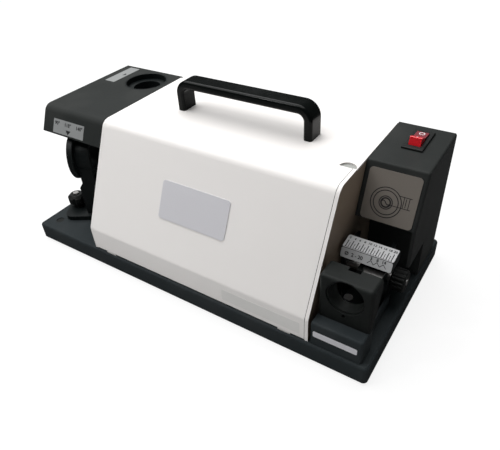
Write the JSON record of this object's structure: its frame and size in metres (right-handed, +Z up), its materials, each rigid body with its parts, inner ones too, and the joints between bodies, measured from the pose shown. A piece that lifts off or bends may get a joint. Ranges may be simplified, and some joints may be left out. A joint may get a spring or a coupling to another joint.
{
  "type": "drill bit sharpener",
  "caption": "Bench machine for regrinding twist drills: sloped sheet enclosure with a motor and wheel, chuck sockets for setting, grinding and the chisel edge, and a carrying handle.",
  "frame": {"origin": "on the table, below the middle of the base", "axes": "+X along the length to the right as seen from the front, +Y to the back, +Z up"},
  "size_m": [0.38, 0.18, 0.17],
  "materials": {
    "dark_coat": "satin powder coat",
    "white_coat": "satin paint",
    "black_gloss": "gloss",
    "black_metal": "satin black",
    "black_plastic": "matt",
    "red_plastic": "gloss",
    "rubber": "matt",
    "steel": "machined",
    "copper": "enamelled wire",
    "alloy": "machined",
    "plate": "satin foil"
  },
  "bodies": {
    "machine": {"base_casting": "dark_coat", "rubber_feet": "rubber", "foot_screws": "black_metal", "end_plate_left": "white_coat", "end_plate_right": "white_coat", "end_plate_screws": "steel", "top_cover": "white_coat", "carry_handle": "black_gloss", "handle_screws": "steel", "left_hood": "dark_coat", "chisel_sleeve": "black_metal", "right_housing": "dark_coat", "info_plate": "plate", "switch_body": "black_plastic", "cable_gland": "black_plastic", "run_capacitor": "black_plastic", "capacitor_clip": "steel", "setting_frame": "black_metal", "setting_socket": "black_metal", "setting_bracket": "black_metal", "bracket_screws": "steel", "scale_block": "black_metal", "guide_rod": "steel", "pivot_bolt": "steel", "motor_can": "black_metal", "stator_core": "steel", "winding_left": "copper", "winding_right": "copper", "motor_bell_left": "alloy", "motor_bell_right": "alloy", "bearing_left": "steel", "bearing_right": "steel", "motor_cradle": "black_metal", "motor_straps": "steel", "strap_screws": "steel"},
    "front_cover": {"front_cover": "white_coat", "name_plate": "plate"},
    "rocker": {"switch_rocker": "red_plastic"},
    "swivel": {"swivel_plate": "black_metal", "swivel_bracket": "black_metal", "angle_socket": "black_metal", "clamp_stud": "steel"},
    "clamp": {"clamp_knob": "black_plastic"},
    "spindle": {"rotor_shaft": "steel", "rotor_core": "steel", "wheel_flange": "alloy", "grinding_wheel": "alloy", "wheel_nut": "steel", "cooling_fan": "black_plastic"},
    "setting_wheel": {"lead_screw": "steel", "setting_thumb_wheel": "black_plastic"},
    "setting_carriage": {"setting_slide": "black_plastic", "setting_finger": "steel"}
  },
  "joints": [
    {"name": "front_cover_hinge", "type": "hinge", "parent": "machine", "child": "front_cover", "pos_m": [0.017, -0.08675, 0.0212], "axis": [1, 0, 0], "range_deg": [0, 70]},
    {"name": "rocker_hinge", "type": "hinge", "parent": "machine", "child": "rocker", "pos_m": [0.164, 0.0515, 0.1403], "axis": [1, 0, 0], "range_deg": [0, 28]},
    {"name": "angle_swivel", "type": "hinge", "parent": "machine", "child": "swivel", "pos_m": [-0.132, -0.024, 0.02], "axis": [0, 0, 1], "range_deg": [-11, 14]},
    {"name": "clamp_turn", "type": "hinge", "parent": "swivel", "child": "clamp", "pos_m": [-0.17143, -0.04769, 0.025], "axis": [0, 0, 1], "range_deg": [0, 180]},
    {"name": "spindle_spin", "type": "hinge", "parent": "machine", "child": "spindle", "pos_m": [0, 0.01, 0.079], "axis": [1, 0, 0], "continuous": true},
    {"name": "setting_turn", "type": "hinge", "parent": "machine", "child": "setting_wheel", "pos_m": [0.16, -0.012, 0.047], "axis": [1, 0, 0], "range_deg": [-260, 56]},
    {"name": "setting_travel", "type": "slide", "parent": "machine", "child": "setting_carriage", "axis": [1, 0, 0], "range_m": [-0.013, 0.0028]}
  ],
  "couplings": [
    {"joint": "setting_travel", "follows": "setting_turn", "m_per_rad": 0.0028648}
  ]
}
